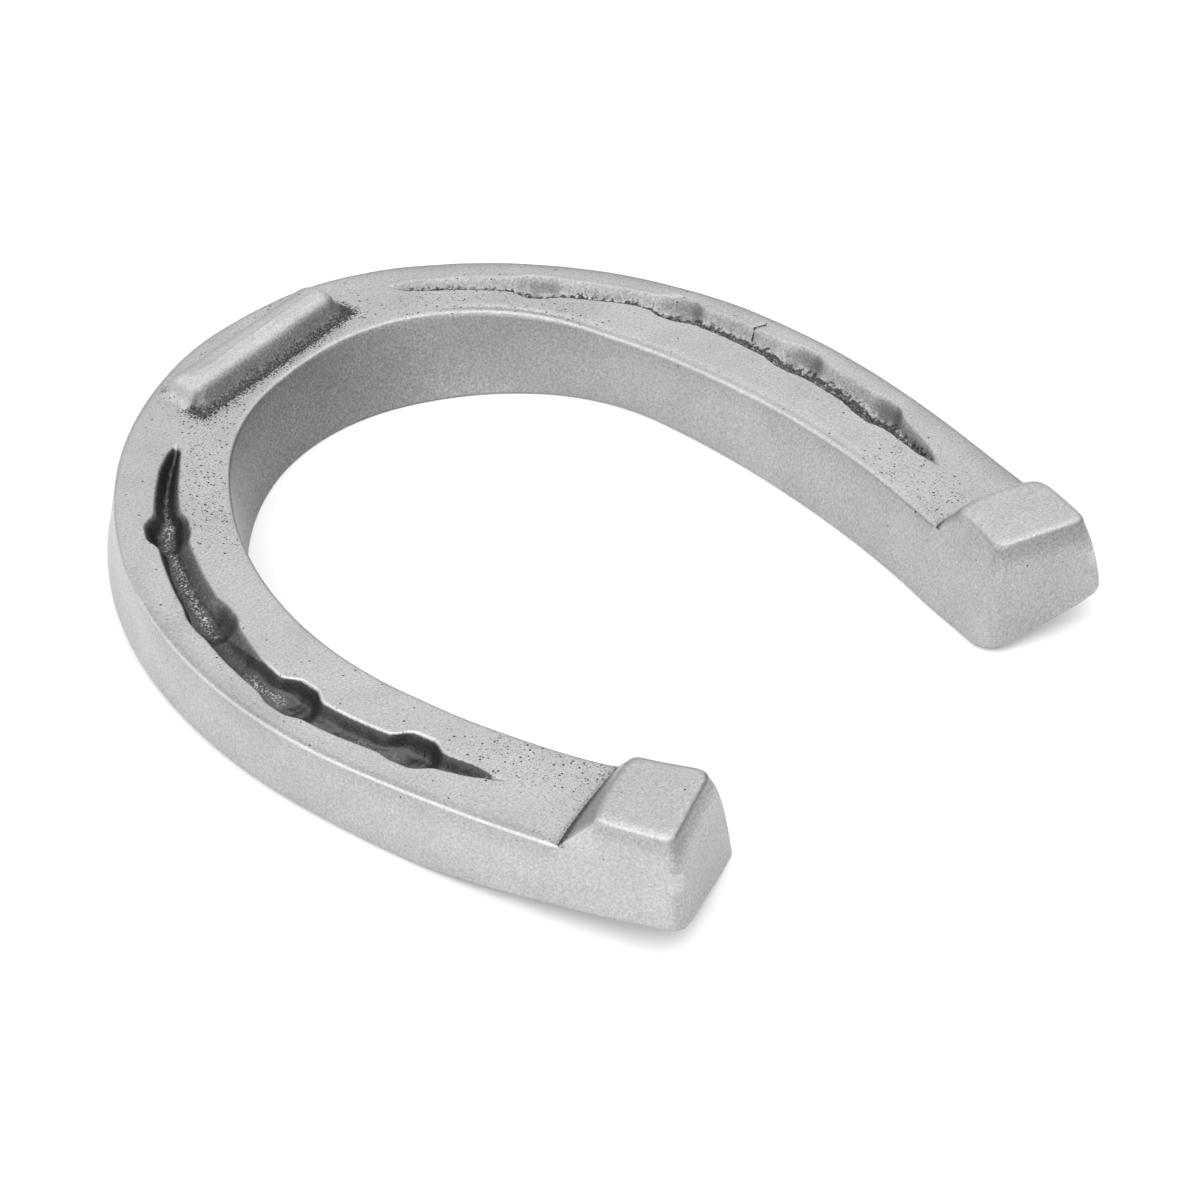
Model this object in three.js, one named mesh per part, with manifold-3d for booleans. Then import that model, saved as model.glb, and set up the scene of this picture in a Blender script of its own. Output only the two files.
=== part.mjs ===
// A fullered horseshoe with a toe calk and two heel calks, lying on its hoof side with the ground side up.
// Millimetres. Hoof side on z = 0, toe to +Y, heels to -Y, the branches mirror each other across x = 0.
import * as THREE from "three";
import { mergeVertices } from "three/addons/utils/BufferGeometryUtils.js";
import Module from "manifold-3d";

const wasm = await Module();
wasm.setup();

// ---- driving dimensions ----
const webThickness = 13.75;
const heelCalkHeight = 5.5;
const toeCalkHeight = 2.75;

// Edges of the web as tangent arcs from the toe back to the heel: [radius, sweep in degrees].
const outerToe = 73.0; // outer edge at the toe, ground side
const outerArcs = [[57, 20], [61, 26], [80, 29], [100, 20], [207, 26]];
const toeFlare = 1.8; // the hoof side stands out this far round the toe
const flareEnds = 0.8; // share of the branch where that flare has died out
const innerToe = 54.9; // inner edge at the toe, ground side
const innerArcs = [[105, 5], [34, 41], [38, 28], [136, 50]];
const seatToe = 50.3; // inner edge at the toe, hoof side
const seatArcs = [[36, 23], [47.5, 65], [176, 50]];
const edgeRound = 1.0;

// Heel ends: a face square to the branch that leans back towards the hoof side.
const heelAngle = 22.6; // degrees from the X axis
const heelReach = 51.6; // distance of the end face from the origin, at z = 0
const heelLean = 0.2; // the face comes in this much for each mm up
const heelCorner = 4;
const heelBevel = 5; // the hoof side rises this far at the outer heel corner
const bevelStart = [63.5, -36.7]; // where that bevel leaves the outer edge
const bevelInner = [29.5, -68.7]; // where it leaves the inner edge

// Fullers: a tapered groove in each branch with four nail seats punched into it.
const fullerStart = 0.172; // share of the branch length at the toe end
const fullerEnd = 0.758;
const fullerInset = 7.4; // from the outer edge to the middle of the groove, mid-branch
const fullerHalfWidth = 2.3;
const fullerDepth = 2.2;
const fullerWall = 24; // degrees, wall slope from upright
const nailShares = [0.304, 0.435, 0.568, 0.684];
const nailSeat = { length: 9.5, width: 6.6, floorLength: 5, floorWidth: 3, depth: 3.4 };

// Toe calk: a bar welded across the toe, set a little askew.
const toeCalk = { x: -1.5, y: 62.4, length: 38, width: 8, tilt: 4.4, draft: 1.5 };

// Heel calk: inner and outer ends of its front line, and the corners of its flat top.
const calkFront = { inner: [37.9, -52.5], outer: [56.6, -57.0] };
const calkTop = {
  frontInner: [39.3, -56.7],
  frontOuter: [52.6, -60.5],
  backOuter: [50.0, -72.1],
  backInner: [35.0, -66.2],
};

const castMetal = new THREE.MeshStandardMaterial({ color: 0xc7c6c2, roughness: 0.5, metalness: 0.85 });
const calkMetal = new THREE.MeshStandardMaterial({ color: 0xcfcecb, roughness: 0.45, metalness: 0.85 });

const V2 = (x, y) => new THREE.Vector2(x, y);
const deg = Math.PI / 180;

// Right-hand half of an edge: from (0, startY) heading +X, turning clockwise through each arc.
function arcChain(startY, arcs) {
  const points = [V2(0, startY)];
  let p = V2(0, startY), turn = 0;
  for (const [radius, sweep] of arcs) {
    const centre = V2(p.x - radius * Math.sin(turn), p.y - radius * Math.cos(turn));
    const steps = Math.ceil((radius * sweep * deg) / 1.5);
    for (let i = 1; i <= steps; i++) {
      const a = turn + (sweep * deg * i) / steps;
      points.push(V2(centre.x + radius * Math.sin(a), centre.y + radius * Math.cos(a)));
    }
    turn += sweep * deg;
    p = points[points.length - 1];
  }
  return points;
}

// Evenly spaced points along a polyline.
function resample(points, count, from = 0, to = 1) {
  const along = [0];
  for (let i = 1; i < points.length; i++) along.push(along[i - 1] + points[i].distanceTo(points[i - 1]));
  const total = along[along.length - 1];
  const out = [];
  let i = 1;
  for (let k = 0; k < count; k++) {
    const s = total * (from + ((to - from) * k) / (count - 1));
    while (i < points.length - 1 && along[i] < s) i++;
    out.push(points[i - 1].clone().lerp(points[i], (s - along[i - 1]) / (along[i] - along[i - 1])));
  }
  return out;
}

const endOut = V2(-Math.sin(heelAngle * deg), -Math.cos(heelAngle * deg)); // outward from the end face
const endOffset = (z) => heelReach - heelLean * z;

function trimAtHeel(points, z) {
  const reach = (p) => p.dot(endOut) - endOffset(z);
  const i = points.findIndex((p) => p.y < 0 && reach(p) > 0);
  const a = points[i - 1], b = points[i];
  return [...points.slice(0, i), a.clone().lerp(b, -reach(a) / (reach(b) - reach(a)))];
}

// Fillet of the corner at q between p and r.
function roundCorner(p, q, r, radius, steps = 4) {
  const u = p.clone().sub(q).normalize(), v = r.clone().sub(q).normalize();
  const half = Math.acos(u.dot(v)) / 2;
  const centre = q.clone().add(u.clone().add(v).normalize().multiplyScalar(radius / Math.sin(half)));
  const start = q.clone().addScaledVector(u, radius / Math.tan(half)).sub(centre);
  const end = q.clone().addScaledVector(v, radius / Math.tan(half)).sub(centre);
  const sweep = Math.atan2(start.cross(end), start.dot(end));
  const out = [];
  for (let i = 0; i <= steps; i++) {
    out.push(start.clone().rotateAround(V2(0, 0), (sweep * i) / steps).add(centre));
  }
  return out;
}

const outerLine = arcChain(outerToe, outerArcs);
const innerLine = arcChain(innerToe, innerArcs);
const seatLine = arcChain(seatToe, seatArcs);

// The outer edge at height z, with the toe flare added towards the hoof side.
function outerAt(z) {
  return outerLine.map((p, i) => {
    const a = outerLine[Math.max(0, i - 1)], b = outerLine[Math.min(outerLine.length - 1, i + 1)];
    const out = V2(-(b.y - a.y), b.x - a.x).normalize();
    const share = i / (outerLine.length - 1) / flareEnds;
    return p.clone().addScaledVector(out, toeFlare * Math.max(0, 1 - share * share) * (1 - z / webThickness));
  });
}

// Right half of the outline at height z: down the outer edge, round the heel and back up the inner edge.
const outerSteps = 44, innerSteps = 34;
function halfOutline(z) {
  const outer = trimAtHeel(outerAt(z), z);
  const seat = resample(trimAtHeel(seatLine, z), 60), inner = resample(trimAtHeel(innerLine, z), 60);
  const inside = seat.map((p, i) => p.clone().lerp(inner[i], z / webThickness));
  const outerEnd = outer[outer.length - 1], innerEnd = inside[inside.length - 1];
  const down = resample(outer, outerSteps, 0, 0.955), up = resample(inside, innerSteps, 0, 0.955);
  return [
    ...down,
    ...roundCorner(down[down.length - 1], outerEnd, innerEnd, heelCorner),
    ...roundCorner(outerEnd, innerEnd, up[up.length - 1], heelCorner),
    ...up.reverse(),
  ];
}

// Whole loop, anticlockwise from above, pulled in by inset(point).
function loopAt(z, inset) {
  const half = halfOutline(z);
  const whole = [...half, ...half.slice(1, -1).reverse().map((p) => V2(-p.x, p.y))].reverse();
  return whole.map((p, i) => {
    const a = whole[(i + whole.length - 1) % whole.length], b = whole[(i + 1) % whole.length];
    const inward = V2(-(b.y - a.y), b.x - a.x).normalize();
    const q = p.clone().addScaledVector(inward, inset(p));
    return new THREE.Vector3(Math.abs(p.x) < 1e-6 ? 0 : q.x, q.y, z);
  });
}

// A closed solid from rings of equal count, bottom to top, each anticlockwise from above.
function stackRings(rings) {
  const n = rings[0].length, position = rings.flat().flatMap((p) => [p.x, p.y, p.z]), index = [];
  for (let k = 0; k + 1 < rings.length; k++) {
    for (let i = 0; i < n; i++) {
      const a = k * n + i, b = k * n + ((i + 1) % n);
      index.push(a, b, b + n, a, b + n, a + n);
    }
  }
  const cap = (ring) => THREE.ShapeUtils.triangulateShape(ring.map((p) => V2(p.x, p.y)), []);
  const last = (rings.length - 1) * n;
  for (const [a, b, c] of cap(rings[0])) index.push(a, c, b);
  for (const [a, b, c] of cap(rings[rings.length - 1])) index.push(a + last, b + last, c + last);
  const g = new THREE.BufferGeometry();
  g.setAttribute("position", new THREE.Float32BufferAttribute(position, 3));
  g.setIndex(index);
  return g;
}

function toManifold(geometry) {
  const g = mergeVertices(geometry, 1e-4);
  const mesh = { numProp: 3, vertProperties: g.attributes.position.array, triVerts: new Uint32Array(g.index.array) };
  return new wasm.Manifold(new wasm.Mesh(mesh));
}

function toGeometry(solid) {
  const m = solid.getMesh();
  const g = new THREE.BufferGeometry();
  g.setAttribute("position", new THREE.BufferAttribute(new Float32Array(m.vertProperties), 3));
  g.setIndex(new THREE.BufferAttribute(new Uint32Array(m.triVerts), 1));
  return g;
}

// ---- shoe bar ----
const underCalk = (p) => THREE.MathUtils.smoothstep(-p.y, 47.7, 53.7); // edges stay sharp where a calk sits
const sharp = () => 0;
const webRings = [
  loopAt(0, () => edgeRound),
  loopAt(0.3 * edgeRound, () => 0.3 * edgeRound),
  loopAt(edgeRound, sharp),
  loopAt(webThickness - edgeRound, sharp),
  loopAt(webThickness - 0.3 * edgeRound, (p) => 0.3 * edgeRound * (1 - underCalk(p))),
  loopAt(webThickness, (p) => edgeRound * (1 - underCalk(p))),
];
let web = toManifold(stackRings(webRings));

// Middle of the fuller at a share of the branch, with the direction it runs.
const branch = resample(outerLine, 241, 0, 0.93);
function fullerAt(share) {
  const i = Math.round(share * 240);
  const along = branch[i + 1].clone().sub(branch[i - 1]).normalize();
  const heel = Math.max(0, (share - 0.6) / 0.158), toe = Math.max(0, (0.42 - share) / 0.25);
  const inset = fullerInset + 1.8 * heel * heel + 0.8 * toe * toe;
  return { p: branch[i].clone().add(V2(along.y, -along.x).multiplyScalar(inset)), along };
}

function fullerCutter() {
  const steps = 30, rings = [];
  for (let k = 0; k <= steps; k++) {
    const u = k / steps;
    const { p, along } = fullerAt(fullerStart + (fullerEnd - fullerStart) * u);
    const taper = Math.min(1, 0.12 + 5 * u, 0.12 + 5 * (1 - u));
    const depth = fullerDepth * taper, half = fullerHalfWidth * taper;
    const slope = Math.min(Math.tan(fullerWall * deg), (0.75 * half) / depth);
    const across = V2(-along.y, along.x);
    const corner = (side, z) => {
      const q = p.clone().addScaledVector(across, side * (half + slope * z));
      return new THREE.Vector3(q.x, q.y, webThickness + z);
    };
    rings.push([corner(-1, 1), corner(1, 1), corner(1, -depth), corner(-1, -depth)]);
  }
  const n = 4, position = rings.flat().flatMap((p) => [p.x, p.y, p.z]), index = [];
  for (let k = 0; k < steps; k++) {
    for (let i = 0; i < n; i++) {
      const a = k * n + i, b = k * n + ((i + 1) % n);
      index.push(a, b + n, b, a, a + n, b + n);
    }
  }
  const e = steps * n;
  index.push(0, 1, 2, 0, 2, 3, e, e + 2, e + 1, e, e + 3, e + 2);
  const g = new THREE.BufferGeometry();
  g.setAttribute("position", new THREE.Float32BufferAttribute(position, 3));
  g.setIndex(index);
  const solid = toManifold(g);
  if (solid.volume() > 0) return solid;
  for (let i = 0; i < index.length; i += 3) [index[i + 1], index[i + 2]] = [index[i + 2], index[i + 1]];
  g.setIndex(index);
  return toManifold(g);
}

// One blind nail seat: a tapered punch mark with rounded corners, running with the fuller.
function nailCutter(share) {
  const { p, along } = fullerAt(share);
  const ring = (length, width, z) => {
    const points = [];
    for (let i = 0; i < 16; i++) {
      const a = (i / 16) * 2 * Math.PI, c = Math.cos(a), s = Math.sin(a);
      const x = (length / 2) * Math.sign(c) * Math.abs(c) ** 0.6, y = (width / 2) * Math.sign(s) * Math.abs(s) ** 0.6;
      points.push(new THREE.Vector3(p.x + along.x * x - along.y * y, p.y + along.y * x + along.x * y, z));
    }
    return points;
  };
  const { length, width, floorLength, floorWidth, depth } = nailSeat;
  const more = 1 + 1 / depth;
  return toManifold(stackRings([
    ring(floorLength, floorWidth, webThickness - depth),
    ring(floorLength + (length - floorLength) * more, floorWidth + (width - floorWidth) * more, webThickness + 1),
  ]));
}

// The wedge taken off the hoof side at the right heel.
function bevelCutter() {
  const low = -1, rise = V2(-(bevelInner[1] - bevelStart[1]), bevelInner[0] - bevelStart[0]).normalize();
  const corner = V2(50.4, -75.9), base = V2(...bevelStart);
  const run = corner.clone().sub(base).dot(rise);
  const slope = heelBevel / run;
  const line = V2(...bevelInner).sub(base).normalize();
  const at = (along, out, z) => {
    const q = base.clone().addScaledVector(line, along).addScaledVector(rise, out);
    return new THREE.Vector3(q.x, q.y, z);
  };
  const back = low / slope, far = 60;
  const section = (along) => [at(along, back, low), at(along, far, low), at(along, far, far * slope)];
  const hull = [...section(-20), ...section(80)].map((p) => [p.x, p.y, p.z]);
  return wasm.Manifold.hull(hull);
}

const rightCutters = [fullerCutter(), ...nailShares.map(nailCutter), bevelCutter()];
const leftCutters = rightCutters.map((c) => c.mirror([1, 0, 0]));
for (const cutter of [...rightCutters, ...leftCutters]) web = web.subtract(cutter);

// ---- toe calk ----
function toeCalkSolid() {
  const { x, y, length, width, tilt, draft } = toeCalk;
  const ring = (inset, radius, z) => {
    const l = length / 2 - inset, w = width / 2 - inset;
    const corners = [V2(l, w), V2(-l, w), V2(-l, -w), V2(l, -w)];
    return corners
      .flatMap((q, i) => roundCorner(corners[(i + 3) % 4], q, corners[(i + 1) % 4], radius, 3))
      .map((q) => q.rotateAround(V2(0, 0), tilt * deg))
      .map((q) => new THREE.Vector3(q.x + x, q.y + y, z));
  };
  return stackRings([
    ring(0, 0.6, webThickness),
    ring(0.75 * draft, 0.8, webThickness + 0.72 * toeCalkHeight),
    ring(1.05 * draft, 0.8, webThickness + 0.93 * toeCalkHeight),
    ring(1.45 * draft, 0.8, webThickness + toeCalkHeight),
  ]);
}

// ---- heel calks ----
function heelCalkSolid(side) {
  const half = halfOutline(webThickness);
  const frontIn = V2(...calkFront.inner), frontOut = V2(...calkFront.outer);
  const front = frontOut.clone().sub(frontIn);
  const behind = (p) => front.cross(p.clone().sub(frontIn)) < 0;
  const base = half.filter((p) => p.y < 0 && behind(p));
  const outline = resample([frontIn, frontOut, ...base, frontIn], 57).slice(0, -1);
  const { frontInner, frontOuter, backOuter, backInner } = calkTop;
  const top = [V2(...frontInner), V2(...frontOuter), V2(...backOuter), V2(...backInner)];
  const rounded = top.flatMap((q, i) => roundCorner(top[(i + 3) % 4], q, top[(i + 1) % 4], 2.2, 4));
  const centre = top.reduce((s, p) => s.add(p), V2(0, 0)).multiplyScalar(0.25);
  // Each base point rises to the point of the top outline that lies in the same direction.
  const reach = (p) => {
    const d = p.clone().sub(centre).normalize();
    let best = 0;
    rounded.forEach((a, i) => {
      const b = rounded[(i + 1) % rounded.length], e = b.clone().sub(a), w = a.clone().sub(centre);
      const den = d.cross(e), t = w.cross(e) / den, u = w.cross(d) / den;
      if (t > 0 && u >= -1e-9 && u <= 1 + 1e-9) best = Math.max(best, t);
    });
    return centre.clone().addScaledVector(d, best);
  };
  const tops = outline.map(reach);
  const ring = (share, inset, rise) =>
    outline.map((p, i) => {
      const q = p.clone().lerp(tops[i], share).lerp(centre, inset);
      return new THREE.Vector3(side * q.x, q.y, webThickness + rise * heelCalkHeight);
    });
  let rings = [ring(0, 0, 0), ring(0.5, 0, 0.62), ring(0.8, 0, 0.88), ring(1, 0, 0.97), ring(1, 0.1, 1)];
  const area = THREE.ShapeUtils.area(rings[0].map((p) => V2(p.x, p.y)));
  if (area < 0) rings = rings.map((r) => r.reverse());
  return stackRings(rings);
}

const shoe = new THREE.Group();
shoe.name = "horseshoe";
function add(name, geometry, material) {
  const mesh = new THREE.Mesh(geometry, material);
  mesh.name = name;
  shoe.add(mesh);
}
add("shoe_bar", toGeometry(web), castMetal);
add("toe_calk", toeCalkSolid(), calkMetal);
add("heel_calk_left", heelCalkSolid(-1), calkMetal);
add("heel_calk_right", heelCalkSolid(1), calkMetal);

export default shoe;
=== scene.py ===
import math
import bpy
import numpy as np
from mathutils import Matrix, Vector, noise


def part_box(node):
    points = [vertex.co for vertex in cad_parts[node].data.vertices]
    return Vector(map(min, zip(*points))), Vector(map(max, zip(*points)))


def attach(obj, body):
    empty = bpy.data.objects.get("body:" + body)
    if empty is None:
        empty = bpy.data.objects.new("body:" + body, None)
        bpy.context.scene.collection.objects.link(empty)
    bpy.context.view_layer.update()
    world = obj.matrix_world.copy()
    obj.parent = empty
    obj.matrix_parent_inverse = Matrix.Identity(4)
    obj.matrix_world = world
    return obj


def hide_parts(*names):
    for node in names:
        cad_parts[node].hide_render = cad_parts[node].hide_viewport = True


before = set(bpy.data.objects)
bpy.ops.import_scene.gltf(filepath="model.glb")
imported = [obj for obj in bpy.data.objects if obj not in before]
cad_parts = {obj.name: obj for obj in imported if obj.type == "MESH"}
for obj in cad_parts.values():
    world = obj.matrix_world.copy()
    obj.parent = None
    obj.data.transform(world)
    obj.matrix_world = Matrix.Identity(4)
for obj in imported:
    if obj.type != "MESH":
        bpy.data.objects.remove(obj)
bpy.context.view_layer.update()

# Fullered horseshoe with a toe calk and two heel calks, ground side up.
# Lengths below are in millimetres and go to metres when a mesh is made.
mm = 0.001
shoeLow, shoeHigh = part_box("shoe_bar")
webTop = shoeHigh.z / mm
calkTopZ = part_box("heel_calk_right")[1].z / mm
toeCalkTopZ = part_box("toe_calk")[1].z / mm


def turn(points, degrees):
    a = math.radians(degrees)
    return points @ np.array([[math.cos(a), math.sin(a)], [-math.sin(a), math.cos(a)]])


# Tangent arcs from the toe towards one heel; side is -1 left, 1 right, tilt turns the start.
def edgeLine(toeY, arcs, side, tilt=0.0, step=0.4):
    heading = -side * math.radians(tilt)
    at = np.array([0.0, toeY])
    points = [at]
    for radius, sweep in arcs:
        sweep = math.radians(sweep)
        centre = at + radius * np.array([-math.sin(heading), -math.cos(heading)])
        count = max(2, math.ceil(abs(radius * sweep) / step))
        for k in range(1, count + 1):
            h = heading + sweep * k / count
            points.append(centre + radius * np.array([math.sin(h), math.cos(h)]))
        heading += sweep
        at = points[-1]
    return np.array(points) * [side, 1]


def lengthAlong(line):
    steps = np.hypot(*np.diff(line, axis=0).T)
    return np.concatenate([[0], np.cumsum(steps)])


# Values with two columns, read off between the places where they are known.
def readOff(x, places, values):
    return np.stack([np.interp(x, places, column) for column in values.T], -1)


def pointAt(line, distance):
    return readOff(distance, lengthAlong(line), line)


def unitVector(v):
    return v / np.hypot(v[..., 0], v[..., 1])[..., None]


def inwardNormal(line, side):
    d = unitVector(np.gradient(line, axis=0))
    return np.stack([d[:, 1], -d[:, 0]], -1) * side


def smooth(x, a, b):
    t = np.clip((np.asarray(x, float) - a) / (b - a), 0, 1)
    return t * t * (3 - 2 * t)


def bell(x, middle, half):
    return np.exp(-((x - middle) / half) ** 2)


# Smooth noise at every point, -1 to 1, with a given size of bump.
def bumps(points, size, seed=0.0, octaves=1):
    flat = np.asarray(points, float).reshape(-1, 3) / size + seed
    out = np.zeros(len(flat))
    for k in range(octaves):
        f = 2.0 ** k
        out += np.array([noise.noise(Vector(p)) for p in flat * f]) / f
    return out.reshape(np.shape(points)[:-1])


shoeBar = {
    "outerToe": 72.85,  # outer edge of the ground side at the toe
    "outerTop": {
        -1: [(48.2, 16.0), (67.2, 24.7), (77.8, 32.1), (89.3, 27.7), (279.2, 19.7)],
        1: [(80.7, 6.9), (48.8, 29.6), (80.6, 45.1), (114.9, 16.0), (228.1, 19.8)],
    },
    "outerFootToe": 74.8,  # outer edge of the hoof side
    "outerFoot": [(64, 17), (56, 28), (80, 29), (100, 20), (207, 26)],
    "innerToe": 54.7,
    "innerTilt": 4.8,  # the inside of the toe is askew, like the toe calk
    "innerTop": {
        -1: [(74.3, 4.1), (38.6, 35.5), (70.0, 52.7), (150.4, 40.0)],
        1: [(75.4, 3.4), (35.5, 45.7), (38.2, 30.7), (142.1, 45.0)],
    },
    "innerFootToe": 49.75,
    "innerFoot": [(37.35, 24.3), (51.65, 28.6), (40.35, 31.5), (166.35, 40.0)],
    "heelAngle": 22.6,  # end face, degrees from the X axis
    "heelReach": 51.6,
    "heelLean": 0.15,
    "heelCurve": 0.02,  # the end face rolls forward above the web
    # radius of the upright heel corners, at the hoof side and at the calk's top
    "corner": {
        -1: {"inner": (1.2, 1.8), "outer": (2.2, 1.8)},
        1: {"inner": (4.2, 1.4), "outer": (2.0, 2.2)},
    },
    # how far the walls flare out at the very end, at the hoof side and at the calk's top
    "flare": {
        -1: {"inner": (3.2, 0.6), "outer": (0.9, 0.2)},
        1: {"inner": (0.3, 0.0), "outer": (2.3, 1.2)},
    },
    "calkLean": 2.4,  # the walls draw in this far by the top of the calk
    "footSwell": {-1: 0.3, 1: 1.5},  # the inner foot edge stands in this far along the quarters
    "bevelRise": {-1: 4.4, 1: 5.0},  # of the hoof side, at its outer heel corner
    "bevelStart": (63.5, -36.7),
    "bevelEnd": (29.5, -68.7),
    "bevelCorner": (50.4, -75.9),
    "footRound": {"inner": 0.5, "outer": 1.1},
    "innerRound": 0.75,
    "outerRound": {-1: 0.45, 1: 1.3},
    "toeRound": 1.0,
    "branchLength": 202,  # along the outer edge, from the toe to the end face
    # painted shade on the end faces of the bar and the heel calks
    "endShade": 0.24,
}

# Points along a fuller are (share of the branch, millimetres in from the outer edge); the other
# lists are (share of the branch, value).
fullers = {
    -1: {
        "start": (0.178, 8.6),
        "outerRim": [
            (0.195, 7.5), (0.215, 6.9), (0.27, 6.4), (0.36, 5.9), (0.41, 5.5), (0.45, 5.2),
            (0.50, 4.7), (0.55, 4.2), (0.60, 4.6), (0.65, 5.2), (0.70, 6.4), (0.725, 7.2),
        ],
        "innerRim": [
            (0.19, 9.9), (0.22, 10.3), (0.27, 10.5), (0.35, 11.2), (0.40, 11.2), (0.45, 11.0),
            (0.50, 9.6), (0.535, 9.1), (0.60, 9.3), (0.655, 9.5), (0.70, 10.0), (0.725, 10.2),
        ],
        "end": (0.756, 9.1),
        "seats": [(0.303, 4.5, 11.7), (0.434, 4.9, 11.8), (0.559, 3.5, 10.9), (0.676, 4.7, 11.8)],
        "depth": 2.2,
        "fleckShift": 0.5,
        "flecks": [
            (0.18, 0.0), (0.24, 0.0), (0.28, 0.6), (0.30, 1.0), (0.45, 0.9), (0.48, 0.15),
            (0.53, 0.15), (0.55, 0.9), (0.575, 0.9), (0.59, 0.1), (0.66, 0.1), (0.68, 0.6),
            (0.70, 0.1), (0.76, 0.3),
        ],
        "scratches": [],
        "crust": 0.10,
        "slopeOut": [(0.20, 1.9), (0.33, 1.9), (0.37, 1.0), (0.76, 1.0)],
        "slopeIn": [(0.20, 2.0), (0.32, 2.7), (0.50, 2.6), (0.55, 1.7), (0.76, 1.7)],
        "darkOut": (0.0, 0.12),  # the patina starts and is full at these parts of the width
        "darkIn": [(0.20, 0.1), (0.30, 0.4), (0.36, 1.1), (0.48, 1.1), (0.54, 0.0), (0.76, 0.0)],
    },
    1: {
        "start": (0.156, 5.9),
        "outerRim": [
            (0.18, 5.1), (0.20, 5.3), (0.25, 5.1), (0.33, 4.8), (0.36, 4.9), (0.40, 4.7),
            (0.47, 4.3), (0.52, 4.6), (0.60, 4.7), (0.64, 4.6), (0.697, 5.6), (0.735, 7.0),
        ],
        "innerRim": [
            (0.17, 7.7), (0.19, 8.4), (0.235, 8.9), (0.33, 10.1), (0.38, 9.3), (0.40, 8.8),
            (0.46, 9.6), (0.52, 9.9), (0.60, 10.4), (0.65, 10.4), (0.70, 10.0), (0.74, 9.9),
        ],
        "end": (0.765, 9.0),
        "seats": [(0.300, 4.3, 11.1), (0.438, 3.1, 10.3), (0.571, 3.6, 10.9), (0.672, 4.0, 11.0)],
        "depth": 2.1,
        "fleckShift": -1.0,
        "flecks": [(0.2, 0.5), (0.76, 0.5)],
        "scratches": [((0.5625, 2.7), (0.553, 4.8)), ((0.553, 4.8), (0.5545, 6.3))],
        "crust": 0.34,
        "slopeOut": [(0.2, 2.0), (0.76, 2.0)],
        "slopeIn": [(0.2, 1.1), (0.76, 1.1)],
        "darkOut": (0.20, 0.52),
        "darkIn": [(0.2, -0.3), (0.76, -0.3)],
    },
}
seatShape = {"halfLength": 0.026, "extraDepth": 1.1}
# Small marks: where (from an edge, or along the branch), half width, and depth or height.
topMarks = {
    "hollow": (1.75, 0.5, 0.20),
    "ridge": (0.307, 0.55, 0.45),
    "crease": (1.25, 0.35, 0.13),
    "scratchWidth": (0.1, 0.4),
    "scratchDepth": 0.15,
}


def smoothLine(values, passes):
    for _ in range(passes):
        inner = (values[:-2] + 2 * values[1:-1] + values[2:]) / 4
        values = np.concatenate([values[:1], inner, values[-1:]])
    return values


# Insets of a fuller's two rims, and its depth, at fine steps of the branch share.
def fullerRims(f):
    share = np.linspace(f["start"][0] - 0.02, f["end"][0] + 0.02, 900)
    ends = [f["start"], f["end"]]

    def rim(points):
        allPoints = [ends[0], *points, ends[1]]
        return np.interp(share, [p[0] for p in allPoints], [p[1] for p in allPoints])

    outer, inner = rim(f["outerRim"]), rim(f["innerRim"])
    seatDepth = np.zeros_like(share)
    for at, outTo, inTo in f["seats"]:
        reach = 1 - smooth(np.abs(share - at), 0.3 * seatShape["halfLength"], seatShape["halfLength"])
        outer = np.minimum(outer, outer + (outTo - outer) * reach)
        inner = np.maximum(inner, inner + (inTo - inner) * reach)
        seatDepth = np.maximum(seatDepth, reach * seatShape["extraDepth"])
    outer, inner = smoothLine(outer, 24), smoothLine(inner, 24)
    within = (share > ends[0][0]) & (share < ends[1][0])
    width = np.where(within, inner - outer, 0)
    depth = (f["depth"] + seatDepth) * smooth(width, 0.1, 3.6)
    return share, outer, inner, depth


# Distance from grid points, along and across the branch, to a short straight line.
def distanceToLine(along, across, start, end):
    a, b = np.array(start, float), np.array(end, float)
    length = b - a
    t = ((along - a[0]) * length[0] + (across - a[1]) * length[1]) / (length @ length)
    t = np.clip(t, 0, 1)
    return np.hypot(along - a[0] - t * length[0], across - a[1] - t * length[1])


# Direction in which the end face of a branch looks.
def heelOut(side):
    a = math.radians(shoeBar["heelAngle"])
    return np.array([-side * math.sin(a), -math.cos(a)])


# How far a point stands out past the end face of its branch.
def heelPlane(points, z, side):
    above = np.clip(np.asarray(z, float) - webTop, 0, None)
    reach = shoeBar["heelReach"] - shoeBar["heelLean"] * z - shoeBar["heelCurve"] * above ** 2
    return points @ heelOut(side) - reach


# Cuts an edge line where it meets the leaning end face.
def trimAtHeel(line, z, side):
    over = heelPlane(line, z, side)
    i = int(np.argmax((over > 0) & (line[:, 1] < 0)))
    t = -over[i - 1] / (over[i] - over[i - 1])
    return np.vstack([line[:i], line[i - 1] + t * (line[i] - line[i - 1])])


edges = {}
for side in (-1, 1):
    edges[side] = {
        "outerTop": edgeLine(shoeBar["outerToe"], shoeBar["outerTop"][side], side),
        "outerFoot": edgeLine(shoeBar["outerFootToe"], shoeBar["outerFoot"], side),
        "innerTop": edgeLine(shoeBar["innerToe"], shoeBar["innerTop"][side], side, shoeBar["innerTilt"]),
        "innerFoot": edgeLine(shoeBar["innerFootToe"], shoeBar["innerFoot"], side),
    }


heelCalk = {
    "valley": {"inner": (37.9, -52.5), "outer": (56.6, -57.0)},
    "cover": (-1.2, 0.6),  # the web's rounded edges fade out over this stretch before the calk
    "rampLength": 4.3,
    "outerCut": 2.2,  # the front corner is cut back at its outer end
    "topInnerFront": -0.4,
    "topOuterBack": 0.4,
    "topLength": 14.5,
    "topWidth": 17,
    "edgeRound": 1.25,
    "dome": 0.18,
}


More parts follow.
